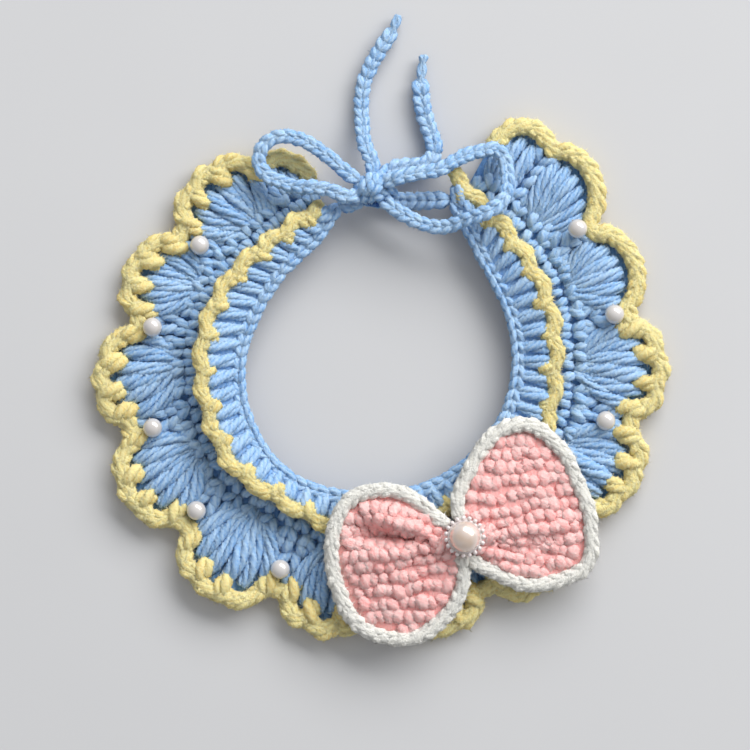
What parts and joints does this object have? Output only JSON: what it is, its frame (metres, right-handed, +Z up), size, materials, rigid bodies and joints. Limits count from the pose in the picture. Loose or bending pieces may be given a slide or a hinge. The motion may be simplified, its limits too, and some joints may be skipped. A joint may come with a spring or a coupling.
{
  "type": "crocheted pet collar",
  "caption": "Flat two-layer crocheted ruffle collar for a small pet, with scalloped edging, beads, a bow with a round cabochon, and tied cords at the back.",
  "frame": {"origin": "on the surface that the collar lies on, under the centre of the collar's own box without its loops and loose cord ends", "axes": "+Y from the bow towards the tie at the back of the neck, +X to the right as seen from above, +Z up"},
  "size_m": [0.1789, 0.1963, 0.0223],
  "materials": {
    "blue_yarn": "matte light blue yarn",
    "yellow_yarn": "matte pale yellow yarn",
    "pink_yarn": "matte pink yarn",
    "white_yarn": "matte off-white yarn",
    "pearl": "glossy imitation pearl",
    "setting": "glossy beaded rim"
  },
  "bodies": {
    "root": {"lower_collar": "blue_yarn", "upper_collar": "blue_yarn", "neck_chain": "blue_yarn", "outer_edging": "yellow_yarn", "upper_edging": "yellow_yarn", "bead_1": "pearl", "bead_2": "pearl", "bead_3": "pearl", "bead_4": "pearl", "bead_5": "pearl", "bead_6": "pearl", "bead_7": "pearl", "bead_8": "pearl", "bow_left_wing": "pink_yarn", "bow_right_wing": "pink_yarn", "bow_left_trim": "white_yarn", "bow_right_trim": "white_yarn", "cabochon_setting": "setting", "cabochon": "pearl", "tie_knot": "blue_yarn", "tie_left_neck": "blue_yarn", "tie_right_neck": "blue_yarn", "tie_left_loop": "blue_yarn", "tie_right_loop": "blue_yarn", "tie_left_tail": "blue_yarn", "tie_right_tail": "blue_yarn"}
  },
  "joints": []
}
